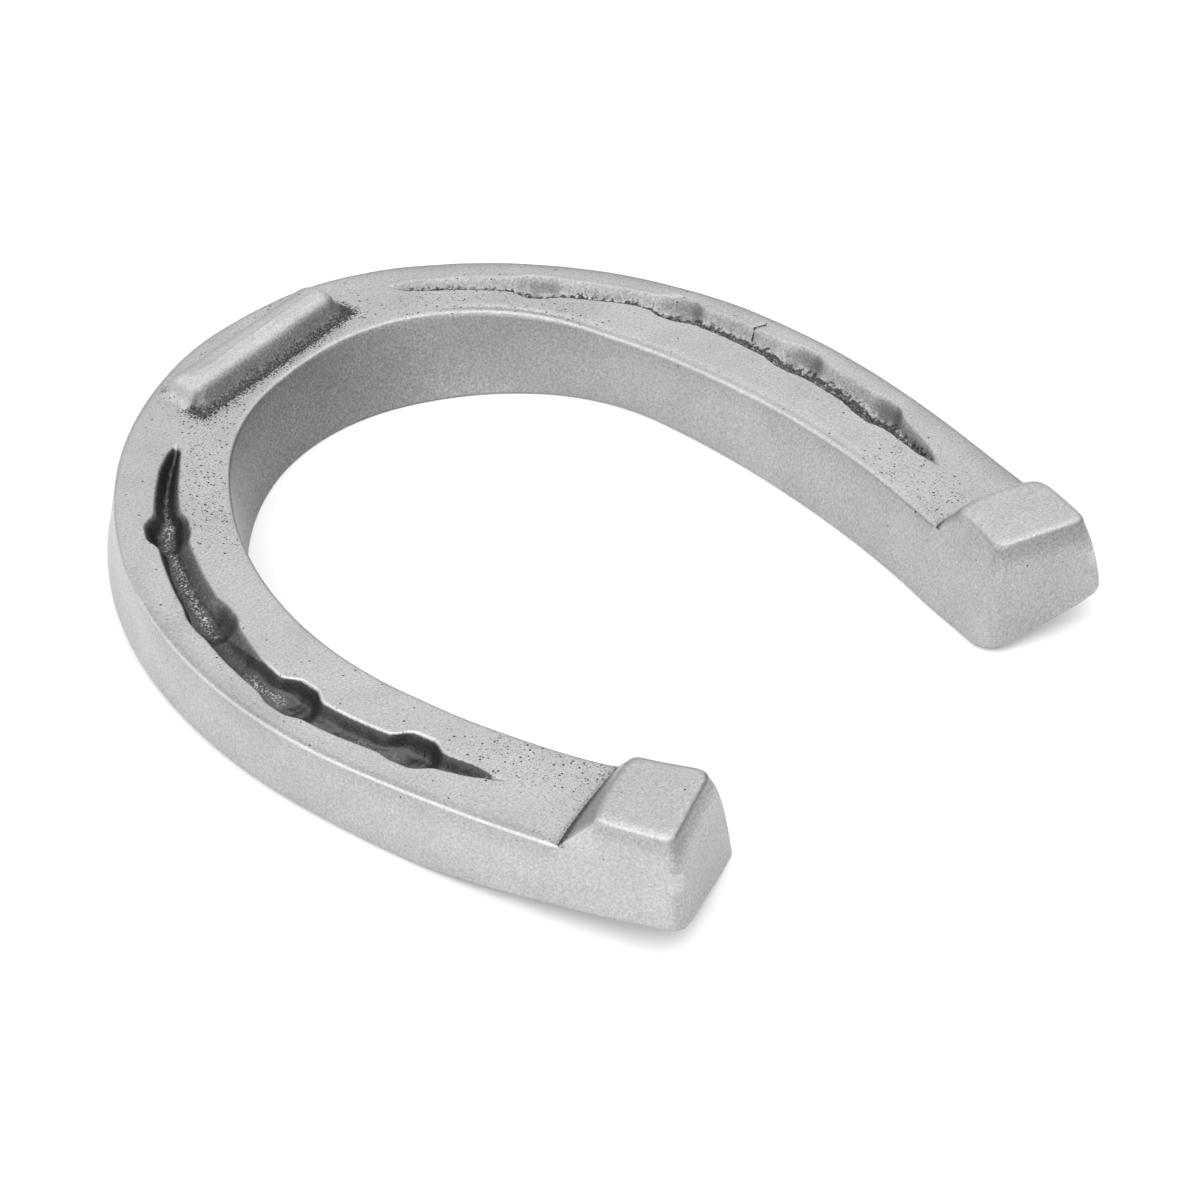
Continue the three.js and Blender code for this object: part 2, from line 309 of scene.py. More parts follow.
def valleyEnds(side):
    return [np.array(heelCalk["valley"][kind]) * [side, 1] for kind in ("inner", "outer")]


# How far behind the valley in front of the heel calk a point lies, along the branch.
def behindValley(points, side):
    a, b = valleyEnds(side)
    d = unitVector(b - a)
    return ((points - a) @ np.array([d[1], -d[0]])) * side


# The side wall of a branch, both for the web and for the calk that stands on its end.
# share runs from 0 at the toe to 1 at the end face; kind is "outer" or "inner".
def wallPoints(kind, side, share, z):
    z = np.asarray(z, float)
    top, foot = edges[side][kind + "Top"], edges[side][kind + "Foot"]
    topCut, footCut = trimAtHeel(top, webTop, side), trimAtHeel(foot, 0, side)
    pTop = pointAt(topCut, share * lengthAlong(topCut)[-1])
    pFoot = pointAt(footCut, share * lengthAlong(footCut)[-1])
    rise = np.clip(z / webTop, 0, 1.5)
    if kind == "inner":
        rise = rise ** (0.8 + 0.2 * smooth(share, 0.7, 0.85))
    p = pFoot + (pTop - pFoot) * rise[..., None]
    curve = shoeBar["heelCurve"] * np.clip(z - webTop, 0, None) ** 2 * smooth(share, 0.8, 1)
    p = p - heelOut(side) * curve[..., None]
    inward = readOff(share, np.linspace(0, 1, len(topCut)), inwardNormal(topCut, side))
    if kind == "inner":
        inward = -inward
    # the calk keeps the slope of the web's wall and curves in more towards its top
    already = ((pTop - pFoot) * inward).sum(-1) * (calkTopZ / webTop - 1)
    lean = np.maximum(shoeBar["calkLean"] - already, 0.5) * np.clip((z - 4) / (calkTopZ - 4), 0, 1.2) ** 2
    lean = lean * smooth(behindValley(p, side), -1.0, 5.0)
    low, high = shoeBar["flare"][side][kind]
    flare = (low + (high - low) * np.clip(z / calkTopZ, 0, 1)) * smooth(share, 0.84, 1)
    if kind == "inner":
        along = smooth(share, 0.3, 0.75) * (1 - smooth(share, 0.88, 1.0))
        flare = flare + shoeBar["footSwell"][side] * along * (1 - np.clip(z / webTop, 0, 1)) ** 2
    return p + inward * (lean - flare)[..., None], inward


# The upright corners: how far a wall is pulled in at a distance from the end face.
def cornerPull(distance, radius):
    d = np.clip(radius - distance, 0, radius)
    return radius - np.sqrt(np.maximum(radius ** 2 - d ** 2, 0))


def roundedWall(kind, side, share, z):
    p, inward = wallPoints(kind, side, share, z)
    foot, top = shoeBar["corner"][side][kind]
    radius = foot + (top - foot) * np.clip(np.asarray(z, float) / calkTopZ, 0, 1)
    return p + inward * cornerPull(-heelPlane(p, z, side), radius)[..., None]


# Height of the hoof side: flat, with a bevel rising to the outer heel corner.
def footHeight(points, side):
    s = shoeBar
    a, b, c = (np.array(s[n]) * [side, 1] for n in ("bevelStart", "bevelEnd", "bevelCorner"))
    d = unitVector(b - a)
    out = np.array([d[1], -d[0]])
    if (c - a) @ out < 0:
        out = -out
    run = (points - a) @ out
    rise = s["bevelRise"][side] / ((c - a) @ out) * run
    soft = 0.35
    return np.logaddexp(0, rise / soft) * soft * (rise > -2)


# How a section of the bar is divided: points along each part, and how far the fine steps
# reach on both sides of a rim.
section = {
    "outerBand": 9,
    "slope": 8,
    "floor": 11,
    "innerBand": 15,
    "wall": 11,
    "round": 4,
    "foot": 9,
    "beforeRim": 0.35,
    "pastRim": 0.95,
    "leastHalf": 1.3,  # half the least distance kept between the columns along the two rims
}


# Shares of the branch where a section is made, closest together along the fuller.
def makeStations():
    fineStart, fineEnd = 0.13, 0.80
    toe = np.linspace(0, fineStart, 44, endpoint=False)
    fine = np.linspace(fineStart, fineEnd, 368)
    heel = fineEnd + (1 - fineEnd) * (1 - (1 - np.linspace(0, 1, 66)[1:]) ** 1.8)
    return np.concatenate([toe, fine, heel])


# Where each station crosses the two rims of the fuller, measured from the outer edge, and the depth.
def fullerCrossings(side, start, unit):
    rimShare, rimOut, rimIn, rimDepth = fullerRims(fullers[side])
    line = edges[side]["outerTop"]
    along = rimShare * shoeBar["branchLength"]
    base = pointAt(line, along)
    baseNormal = readOff(along, lengthAlong(line), inwardNormal(line, side))

    def crossing(inset):
        curve = base + baseNormal * inset[:, None]
        distance, at = np.zeros(len(start)), np.full(len(start), np.nan)
        for i in range(len(start)):
            rel = curve - start[i]
            offLine = rel @ np.array([-unit[i, 1], unit[i, 0]])
            hit = np.nonzero(offLine[:-1] * offLine[1:] <= 0)[0]
            hit = hit[np.abs(rel[hit] @ unit[i]) < 30]
            if len(hit):
                j = hit[0]
                t = offLine[j] / (offLine[j] - offLine[j + 1] + 1e-12)
                distance[i] = (rel[j] + t * (rel[j + 1] - rel[j])) @ unit[i]
                at[i] = rimShare[j] + t * (rimShare[j + 1] - rimShare[j])
        return distance, at

    cOut, atOut = crossing(rimOut)
    cIn, atIn = crossing(rimIn)
    inside = ~np.isnan(atOut) & ~np.isnan(atIn)
    depth = np.where(inside, np.interp((atOut + atIn) / 2, rimShare, rimDepth), 0)
    return cOut, cIn, inside, depth


# The ground side of one half between its rounded edges: a grid of points, masks for the
# finish, and the lines that the walls need.
def topFace(side, share):
    n = len(share)
    s, f = shoeBar, fullers[side]
    atTop = np.full(n, webTop)
    walls = (wallPoints(kind, side, share, atTop)[0] for kind in ("outer", "inner"))
    under, underIn = (smooth(behindValley(wall, side), *heelCalk["cover"]) for wall in walls)
    outR = s["toeRound"] + (s["outerRound"][side] - s["toeRound"]) * smooth(share, 0.1, 0.3)
    outR = outR * (1 - under) + 0.02
    inR = s["innerRound"] * (1 - underIn) + 0.02
    start = roundedWall("outer", side, share, atTop)
    across = roundedWall("inner", side, share, atTop) - start
    width = np.hypot(across[:, 0], across[:, 1])
    unit = across / width[:, None]
    cOut, cIn, inside, depth = fullerCrossings(side, start, unit)

    # columns: outer band, outer slope, floor, inner slope, inner band
    index = np.arange(n)
    middle = np.interp(index, index[inside], ((cOut + cIn) / 2)[inside])
    half = np.interp(index, index[inside], ((cIn - cOut) / 2)[inside])
    half = np.maximum(half, section["leastHalf"])
    colOut, colIn = smoothLine(middle - half, 3), smoothLine(middle + half, 3)
    before, past = section["beforeRim"], section["pastRim"]
    slopeSteps = np.linspace(-before, past, section["slope"] + 1)

    def between(a, b, count):
        return a[:, None] + (b - a)[:, None] * np.linspace(0, 1, count)

    d = np.hstack([
        between(outR, colOut - before, section["outerBand"]),
        colOut[:, None] + slopeSteps[1:],
        between(colOut + past, colIn - past, section["floor"] + 2)[:, 1:-1],
        colIn[:, None] - slopeSteps[:0:-1],
        between(colIn + before, width - inR, section["innerBand"]),
    ])
    top = np.zeros((*d.shape, 3))
    top[..., :2] = start[:, None] + unit[:, None] * d[..., None]
    top[..., 2] = webTop

    # groove: slopes run in from each rim, rough floor between them
    inGroove = inside[:, None]
    fromOut, fromIn = d - cOut[:, None], cIn[:, None] - d
    slopeOut, slopeIn, darkIn, fleckPart = (np.interp(share, *np.array(f[key]).T)
                                            for key in ("slopeOut", "slopeIn", "darkIn", "flecks"))
    fit = np.where(inside, np.clip((cIn - cOut - 0.3) / (slopeOut + slopeIn), 0.03, 1), 1)
    down = np.minimum(smooth(fromOut / (slopeOut * fit)[:, None], -0.12, 1.05),
                      smooth(fromIn / (slopeIn * fit)[:, None], -0.12, 1.05))
    down = np.where(inGroove, down, 0)
    rough = bumps(top, 0.9, 3.1 + side, 2) * f["crust"] * 1.6 + bumps(top, 3.2, 7.7) * 0.25
    sag = depth[:, None] * down
    top[..., 2] -= sag
    part = smooth(fromOut / np.maximum(cIn - cOut, 0.5)[:, None], *f["darkOut"])
    top[..., 2] += rough * down * smooth(sag, 0.2, 1.2) * (0.15 + 0.85 * part)
    near = np.minimum(fromOut, fromIn)
    lip = bell(near, -0.25, 0.22) * 0.02 * smooth(depth, 0.3, 1.5)[:, None]
    top[..., 2] += np.where(inGroove, lip, 0)

    bead = smooth(share, 0.16, 0.26) * (1 - smooth(share, 0.72, 0.80))
    crease = smooth(share, 0.34, 0.46) * (1 - under)
    if side > 0:
        # a soft hollow inside the inner edge, and a ridge across the first nail seat
        at, half, deep = topMarks["hollow"]
        top[..., 2] -= bell(width[:, None] - d, at, half) * deep * bead[:, None]
        at, half, high = topMarks["ridge"]
        ridge = bell((share - at) * s["branchLength"], 0, half)[:, None]
        top[..., 2] += ridge * smooth(d, 5.2, 6.2) * (1 - smooth(d, 10.4, 11.4)) * high
    else:
        # a fine crease beside the outer edge
        at, half, deep = topMarks["crease"]
        top[..., 2] -= bell(d, at, half) * deep * crease[:, None]
    scratch = np.zeros_like(d)
    for ends in f["scratches"]:
        a, b = (np.array(end) * [s["branchLength"], 1] for end in ends)
        gap = distanceToLine(share[:, None] * s["branchLength"], d, a, b)
        scratch = np.maximum(scratch, 1 - smooth(gap, *topMarks["scratchWidth"]))
    top[..., 2] -= scratch * topMarks["scratchDepth"]
    wave = bumps(top, 13, 1.3) * 0.16 + bumps(top, 4.5, 5.2) * 0.05
    top[..., 2] += wave * (1 - np.maximum(under, underIn))[:, None]

    # masks for the finish, with painted shade and painted highlights among them
    darkIn = darkIn[:, None]
    patina = part * smooth(fromIn, darkIn, darkIn + 0.4 + darkIn * 1.2)
    patina = np.where(inGroove, patina, 0) * smooth(depth, 0.2, 0.8)[:, None]
    # painted shade on the slopes of the groove
    slope = np.where(inGroove, smooth(near, -0.4, 0.3), 0) * smooth(depth, 0.1, 0.8)[:, None]
    paintedHighlight = np.zeros_like(d)
    if side < 0:
        patina = patina * (0.72 + 0.28 * smooth(share, 0.30, 0.38))[:, None]
        slope = slope * (0.8 - 0.5 * smooth(share, 0.52, 0.56))[:, None]
        # painted shade beside the fine crease at the outer edge
        slope = np.maximum(slope, 0.2 * (1 - smooth(d, 0.6, 3.4)) * crease[:, None])
        # a painted highlight along the inner rim
        wornAndHighlight = inside * smooth(share, 0.51, 0.56) * (1 - smooth(share, 0.73, 0.76))
        paintedHighlight = 0.75 * bell(fromIn, -0.10, 0.17) * wornAndHighlight[:, None]
    else:
        slope = slope * 0.36
    # painted shade in the valley before the heel calk
    behind = behindValley(top[..., :2], side)
    slope = np.maximum(slope, 0.45 * smooth(behind, -1.7, 0.0) * (1 - smooth(behind, 0.5, 1.0)))
    centre = bell(fromOut - fromIn, -f["fleckShift"], 1.7) * patina
    masks = {"patina": patina, "paintedShade": slope, "paintedHighlight": paintedHighlight, "flecks": centre * fleckPart[:, None],
             "scratch": scratch, "across": d / width[:, None]}
    lines = {"unit": unit, "outer": outR, "inner": inR, "under": under, "underIn": underIn,
             "bead": bead, "crease": crease}
    return top, masks, lines


# A side wall from the rounded top edge down to the rounded hoof-side edge, as a list of rows.
def wallRows(kind, side, share, edgeTop, radius, unit, footZ):
    sign = unit if kind == "outer" else -unit
    footRound = shoeBar["footRound"][kind]
    quarter = np.linspace(0, math.pi / 2, section["round"] + 2)[1:]
    rows = []
    for a in quarter[:-1]:
        z = webTop - radius + radius * math.cos(a)
        p = roundedWall(kind, side, share, z) + sign * (radius * (1 - math.sin(a)))[:, None]
        rows.append(np.column_stack([p, z + (edgeTop - webTop) * math.cos(a)]))
    for t in np.linspace(0, 1, section["wall"]):
        z = (webTop - radius) * (1 - t) + (footZ + footRound) * t
        q = np.column_stack([roundedWall(kind, side, share, z), z])
        swell = bumps(q, 16, 9.4) * 0.22 + bumps(q, 5, 2.6) * 0.05
        q[:, :2] += sign * (swell * math.sin(math.pi * t))[:, None]
        rows.append(q)
    for a in quarter:
        z = footZ + footRound * (1 - math.sin(a))
        p = roundedWall(kind, side, share, z) + sign * footRound * (1 - math.cos(a))
        rows.append(np.column_stack([p, z]))
    return rows


# One half of the bar as a grid [station, column, xyz], with masks for the finish.
def halfBar(side):
    share = makeStations()
    top, masks, lines = topFace(side, share)
    nTop, nEdge = top.shape[1], section["round"]
    walls = {}
    for kind, edgeTop in (("outer", top[:, 0, 2]), ("inner", top[:, -1, 2])):
        footZ = footHeight(roundedWall(kind, side, share, np.zeros(len(share))), side)
        walls[kind] = wallRows(kind, side, share, edgeTop, lines[kind], lines["unit"], footZ)
    a, b = walls["outer"][-1], walls["inner"][-1]
    foot = []
    for t in np.linspace(0, 1, section["foot"])[1:-1]:
        p = a + (b - a) * t
        p[:, 2] = footHeight(p[:, :2], side)
        foot.append(p)
    # section loop: top from outer to inner, down the inner wall, back under, up the outer wall
    loop = [top[:, k] for k in range(nTop)] + walls["inner"] + foot[::-1] + walls["outer"][::-1]
    grid = np.stack(loop, axis=1)
    spread = {}
    for name, mask in masks.items():
        spread[name] = np.zeros(grid.shape[:2])
        spread[name][:, :nTop] = mask
    spread["share"] = np.repeat(share[:, None], grid.shape[1], 1)
    paintedShade, paintedHighlight = spread["paintedShade"], spread["paintedHighlight"]

    # painted shade on the inner wall, most of all inside the toe, and on the end faces
    wallEnd = nTop + len(walls["inner"])
    dullAndShade = np.interp(share, (0, 0.1, 0.22, 0.40, 0.6, 1), (0.66, 0.66, 0.52, 0.18, 0.12, 0.10))
    drop = np.linspace(0, 1, wallEnd - nTop - 2)
    band = 0.16 * bell(drop, 0, 0.22) + 0.10 * smooth(drop, 0.8, 1)
    banded = smooth(share, 0.15, 0.4) * (1 - lines["underIn"])
    paintedShade[:, nTop + 2:wallEnd] = dullAndShade[:, None] + band * banded[:, None]
    atEnd = smooth(heelPlane(grid[..., :2], grid[..., 2], side), -2.4, -0.1) * shoeBar["endShade"]
    paintedShade[:, nTop:] = np.maximum(paintedShade, atEnd)[:, nTop:]
    # painted highlights along the top edges, with painted shade beside them
    if side < 0:
        paintedShade[:, -nEdge - 4:-nEdge] = np.array([0.02, 0.06, 0.11, 0.16]) * lines["crease"][:, None]
        wornAndHighlight = smooth(share, 0.36, 0.46) * (1 - smooth(share, 0.97, 1))
        paintedHighlight[:, -nEdge:-1] = (wornAndHighlight * 0.42)[:, None]
    else:
        paintedHighlight[:, nTop:nTop + nEdge] = (lines["bead"] * 0.12)[:, None]
        fade = (smooth(share, 0.02, 0.2) * (1 - lines["under"]))[:, None]
        paintedShade[:, -nEdge - 4:] = 0.22 * fade
        paintedShade[:, :5] = np.array([0.22, 0.18, 0.13, 0.08, 0.03]) * fade
    return grid, spread


# A mask for the finish; vertices beyond the given values get rest.
def addMask(mesh, name, values, rest=0.0):
    filled = np.full(len(mesh.vertices), rest, np.float32)
    filled[:np.size(values)] = np.ravel(values)
    mesh.attributes.new(name, "FLOAT", "POINT").data.foreach_set("value", filled)


def addToScene(name, data):
    obj = bpy.data.objects.new(name, data)
    bpy.context.scene.collection.objects.link(obj)
    return obj


# Makes an object from vertices in millimetres and faces. Creases over sharp degrees stay hard,
# and the end faces of the bar get the painted shade capShade.
def makeMesh(name, points, faces, masks, sharp, capShade=0.0):
    mesh = bpy.data.meshes.new(name)
    mesh.from_pydata((np.asarray(points) * mm).tolist(), [], faces)
    mesh.validate()
    mesh.update()
    for key, values in masks.items():
        addMask(mesh, key, values, capShade if key == "paintedShade" else 0.0)
    mesh.shade_smooth()
    mesh.set_sharp_from_angle(angle=math.radians(sharp))
    return addToScene(name, mesh)


# Quads between neighbouring closed rings.
def gridFaces(rows, cols):
    faces = []
    for i in range(rows - 1):
        for j in range(cols):
            k = (j + 1) % cols
            faces.append((i * cols + j, i * cols + k, (i + 1) * cols + k, (i + 1) * cols + j))
    return faces


# Closes a ring of vertices with smaller copies of it and a fan to its centre.
def closeLoop(points, faces, first, count, shrinks, flip):
    base = np.array(points[first:first + count])
    centre = base.mean(0)
    added = []
    prior = list(range(first, first + count))
    for shrink in shrinks:
        now = list(range(len(points), len(points) + count))
        points.extend(centre + (base - centre) * shrink)
        for j in range(count):
            k = (j + 1) % count
            added.append((prior[j], prior[k], now[k], now[j]))
        prior = now
    points.append(centre)
    for j in range(count):
        added.append((prior[j], prior[(j + 1) % count], len(points) - 1))
    faces.extend(face[::-1] if flip else face for face in added)


# A stack of rings as points and faces, closed above and below.
def closeStack(grid, underShrink):
    rows, cols = grid.shape[:2]
    points, faces = list(grid.reshape(-1, 3)), gridFaces(rows, cols)
    closeLoop(points, faces, (rows - 1) * cols, cols, (), False)
    closeLoop(points, faces, 0, cols, (underShrink,), True)
    return points, faces


def makeShoeBar():
    left, leftMasks = halfBar(-1)
    right, rightMasks = halfBar(1)
    grid = np.concatenate([left[::-1], right[1:]])
    rows, cols = grid.shape[:2]
    points, faces = list(grid.reshape(-1, 3)), gridFaces(rows, cols)
    for first, flip in ((0, True), ((rows - 1) * cols, False)):
        closeLoop(points, faces, first, cols, (0.93, 0.8, 0.6, 0.35), flip)
    masks = {key: np.concatenate([leftMasks[key][::-1], rightMasks[key][1:]]) for key in leftMasks}
    return makeMesh("shoeBar", points, faces, masks, 38, shoeBar["endShade"])


def rounder(ring, passes):
    for _ in range(passes):
        ring = (np.roll(ring, 1, 0) + 2 * ring + np.roll(ring, -1, 0)) / 4
    return ring


def makeHeelCalk(side, name):
    c = heelCalk
    inner, outer = valleyEnds(side)
    out = heelOut(side)
    nWall, nEnd = 46, 36  # points along a wall, and along the front or the end face
    height = calkTopZ - webTop

    # wall shares that start right at the valley line, or a given distance behind it
    def wallShares(kind, start):
        share = np.linspace(0.7, 1, 1200)
        p = wallPoints(kind, side, share, np.full(len(share), webTop))[0]
        first = share[int(np.argmax(behindValley(p, side) > start))]
        ease = 1 - (1 - np.linspace(0, 1, nWall)) ** 1.6
        return first + (1 - first) * ease

    def ringAt(z, start, cut):
        wo = roundedWall("outer", side, wallShares("outer", start + cut), np.full(nWall, z))
        wi = roundedWall("inner", side, wallShares("inner", start), np.full(nWall, z))
        t = np.linspace(0, 1, nEnd)[1:-1, None]
        end = wo[-1] + (wi[-1] - wo[-1]) * t
        bow = np.sin(math.pi * t) ** 0.6
        front = wi[0] + (wo[0] - wi[0]) * t - out * bow * 0.7
        return np.vstack([wo, end, wi[::-1], front])

    rings = []

    def addRing(ring, z):
        rings.append(np.column_stack([ring, np.full(len(ring), z)]))

    r = c["edgeRound"]
    levels = np.concatenate([[-0.04 / height], np.linspace(0, 1 - r / height, 12)])
    for h in levels:
        up = max(h, 0)
        ramp = c["rampLength"] * (0.12 * up + 0.88 * up ** 1.15)
        z = webTop + h * height
        addRing(rounder(ringAt(z, ramp, c["outerCut"] * up), int(36 * up ** 1.5)), z)
    last = rings[-1][:, :2]
    centre = last.mean(0)
    tangent = unitVector(np.roll(last, -1, 0) - np.roll(last, 1, 0))
    inward = np.stack([-tangent[:, 1], tangent[:, 0]], -1)
    if ((centre - last) * inward).sum() < 0:
        inward = -inward
    for t in np.linspace(0, math.pi / 2, 7)[1:]:
        pull = 1 - math.cos(t)
        p = last + inward * r * pull + (centre - last) * 0.02 * pull
        addRing(rounder(p, int(60 * pull)), calkTopZ - r + r * math.sin(t))
    rim = rings[-1][:, :2]
    for shrink in (0.93, 0.84, 0.72, 0.58, 0.42, 0.25, 0.1):
        addRing(centre + (rim - centre) * shrink, calkTopZ)
    grid = np.array(rings)
    # the top rises a little from the inner front to the outer back and swells in the middle
    d = unitVector(outer - inner)
    along = (behindValley(grid[..., :2], side) - c["rampLength"]) / c["topLength"]
    over = ((grid[..., :2] - inner) @ d) / c["topWidth"]
    tip = c["topInnerFront"] + (c["topOuterBack"] - c["topInnerFront"]) * (along + over) / 2
    swell = np.clip(4 * along * (1 - along), 0, 1) * np.clip(4 * over * (1 - over), 0, 1)
    lift = np.clip((grid[..., 2] - webTop) / height, 0, 1)
    grid[..., 2] += tip * lift ** 2 + c["dome"] * swell * lift ** 4
    grid[..., 2] += bumps(grid, 7, 4.4) * 0.12 * lift
    points, faces = closeStack(grid, 0.6)
    if side > 0:
        faces = [face[::-1] for face in faces]

    # masks: painted shade at the root of the ramp, towards the end face and on the inner wall
    edgeRing = len(levels) + 2
    behind = behindValley(grid[..., :2], side)
    dullAndShade = smooth(heelPlane(grid[..., :2], grid[..., 2], side), -2.4, -0.1) * shoeBar["endShade"]
    dullAndShade = dullAndShade * (1 + 1.1 * smooth(grid[..., 2], webTop + 0.5, calkTopZ - 1.3))
    dullAndShade = np.maximum(dullAndShade, 0.42 * (1 - smooth(behind, 0.2, 2.0)))
    paintedHighlight = np.zeros(grid.shape[:2])
    if side < 0:
        # the outer top edge gets a painted highlight, like the web's edge before it, and painted shade just
        # below
        underEdge = 0.2 * smooth(grid[..., 2], calkTopZ - 3.4, calkTopZ - 1.6)
        dullAndShade[:, 3:nWall - 3] = np.maximum(dullAndShade, underEdge)[:, 3:nWall - 3]
        paintedHighlight[edgeRing, 1:nWall - 3] = 0.45
        paintedHighlight[1:edgeRing, 0] = 0.35
    innerWall = slice(nWall + nEnd - 2, 2 * nWall + nEnd - 2)
    dullAndShade[:, innerWall] = np.maximum(dullAndShade[:, innerWall], 0.10)
    dullAndShade[edgeRing + 1:] = 0
    masks = {"root": 1 - smooth(behind, 0.2, 1.8), "paintedShade": dullAndShade, "paintedHighlight": paintedHighlight}
    return makeMesh(name, points, faces, masks, 50)


toeCalk = {
    "centre": (-1.3, 62.5),
    "tilt": 4.4,
    # half sizes towards the heels, the toe, the left and the right: at the web, where the
    # slopes would reach the top, and where the flat crown starts
    "foot": (4.3, 4.9, 19.2, 17.8),
    "shoulder": (1.9, 4.5, 17.4, 17.3),
    "crown": (-0.6, 1.7, 15.4, 15.2),
    "slopeEnd": 0.6,
    "extraHeight": 0.75,
    "skirt": 1.0,
}


# Rounded box outline from four half sizes, as even steps round it.
def boxOutline(sizes, radius, count):
    heelSide, toeSide, left, right = sizes
    most = (heelSide + toeSide) / 2 - 0.02
    points = []
    for k, (sx, sy) in enumerate(((1, 1), (-1, 1), (-1, -1), (1, -1))):
        r = min(radius * (1.9 if sx > 0 else 0.8), most)
        cx = (right if sx > 0 else -left) - sx * r
        cy = (toeSide if sy > 0 else -heelSide) - sy * r
        for a in np.linspace(0, math.pi / 2, 24) + k * math.pi / 2:
            points.append((cx + r * math.cos(a), cy + r * math.sin(a)))
    line = np.array(points + points[:1])
    return pointAt(line, np.linspace(0, lengthAlong(line)[-1], count + 1)[:-1])


def makeToeCalk():
    c = toeCalk
    height = toeCalkTopZ - webTop + c["extraHeight"]
    count = 260
    foot, shoulder, crown = (np.array(c[key]) for key in ("foot", "shoulder", "crown"))
    rings = []
    for h in np.concatenate([[-0.02], np.linspace(0, 1, 9) ** 1.4 * c["slopeEnd"]]):
        skirt = c["skirt"] * max(0, 1 - max(h, 0) / 0.28) ** 2
        sizes = foot + (shoulder - foot) * max(h, 0) + skirt
        rings.append((boxOutline(sizes, 1.4 + 0.4 * h, count), webTop + h * height))
    base = foot + (shoulder - foot) * c["slopeEnd"]
    for t in np.linspace(0, 1, 11)[1:]:
        weights = ((1 - t) ** 2, 2 * t * (1 - t), t * t)
        sizes = base * weights[0] + shoulder * weights[1] + crown * weights[2]
        h = c["slopeEnd"] * weights[0] + weights[1] + weights[2]
        rings.append((boxOutline(sizes, 1.5, count), webTop + height * h))
    rim = rings[-1][0]
    middle = np.array([(crown[3] - crown[2]) / 2, (crown[1] - crown[0]) / 2])
    for s in (0.85, 0.65, 0.45, 0.2):
        ring = middle + (rim - middle) * (1 - (1 - s) * 0.08, s)
        rings.append((ring, webTop + height + 0.06 * (1 - s)))
    local = np.array([p for p, _ in rings])
    grid = np.array([np.column_stack([turn(p, c["tilt"]) + c["centre"], np.full(count, z)])
                     for p, z in rings])
    lift = np.clip((grid[..., 2] - webTop) / height, 0, 1)
    grid[..., 2] += bumps(grid, 6, 8.8) * 0.14 * lift
    grid[..., :2] += (bumps(grid, 5, 3.3) * 0.22 * (1 - lift))[..., None]
    grid[..., 2] += bumps(grid, 1.0, 6.1, 2) * 0.12 * (1 - smooth(lift, 0.05, 0.45)) * smooth(lift, 0, 0.02)
    points, faces = closeStack(grid, 0.5)
    # painted shade on the slope that faces the heels, a painted highlight along the crown
    heelFace = (1 - smooth(local[..., 1], -2.0, -0.6)) * (1 - smooth(lift, 0.72, 1.0))
    masks = {
        "root": (1 - smooth(lift, 0.05, 0.5)) * (0.3 + 0.7 * heelFace),
        "paintedShade": heelFace * 0.75,
        "paintedHighlight": smooth(lift, 0.9, 1.0) * 0.12,
    }
    return makeMesh("toeCalk", points, faces, masks, 50)


castFinish = {
    "bright": (0.60, 0.60, 0.595, 1),
    "dullAndShade": (0.44, 0.44, 0.435, 1),
    "grain": (0.24, 0.24, 0.235, 1),
    # colour of the painted highlights
    "highlightColour": (0.80, 0.80, 0.79, 1),
    # colour of the painted shade
    "paintedShade": (0.085, 0.085, 0.084, 1),
    # colour of dirt and scratches, and of painted shade in the valleys
    "dirtAndShade": (0.05, 0.05, 0.05, 1),
    "pit": (0.04, 0.04, 0.04, 1),
    "patina": (0.06, 0.06, 0.061, 1),
    "fleck": (0.55, 0.55, 0.53, 1),
    "roughness": 0.42,
    "cloudAmount": 0.45,
    "grainAmount": 0.52,
    "pitAmount": 0.9,
    "skinHeight": 0.000032,  # metres
    "pitHeight": 0.00009,
    "bumpStrength": 0.8,
}


def addSocket(tree, name, inOut, kind, value=None):
    socket = tree.interface.new_socket(name=name, in_out=inOut, socket_type=kind)
    if value is not None:
        socket.default_value = value


def place(tree, kind, x, y, **values):
    node = tree.nodes.new(kind)
    node.location = (x, y)
    for key, value in values.items():
        setattr(node, key, value)
    return node


# Gives a socket a number or colour, or links it to another socket.
def feed(tree, socket, value):
    if isinstance(value, (int, float, tuple)):
        socket.default_value = value
    elif value is not None:
        tree.links.new(value, socket)


def mathNode(tree, operation, a, b, x=0, y=0, clamp=False, plus=None):
    node = place(tree, "ShaderNodeMath", x, y, operation=operation, use_clamp=clamp)
    for socket, value in zip(node.inputs, (a, b, plus)):
        feed(tree, socket, value)
    return node.outputs[0]


def times(tree, a, b, x, y, clamp=False):
    return mathNode(tree, "MULTIPLY", a, b, x, y, clamp)


def rangeNode(tree, value, low, high, toLow=0.0, toHigh=1.0, x=0, y=0):
    node = place(tree, "ShaderNodeMapRange", x, y, clamp=True)
    for socket, number in zip(node.inputs, (value, low, high, toLow, toHigh)):
        feed(tree, socket, number)
    return node.outputs["Result"]


def mixNode(tree, factor, a, b, x=0, y=0):
    node = place(tree, "ShaderNodeMix", x, y, data_type="RGBA")
    for k, value in ((0, factor), (6, a), (7, b)):
        feed(tree, node.inputs[k], value)
    return node.outputs[2]


def noiseNode(tree, coords, scale, detail, x, y):
    node = place(tree, "ShaderNodeTexNoise", x, y)
    for key, value in (("Vector", coords), ("Scale", scale), ("Detail", detail)):
        feed(tree, node.inputs[key], value)
    return node


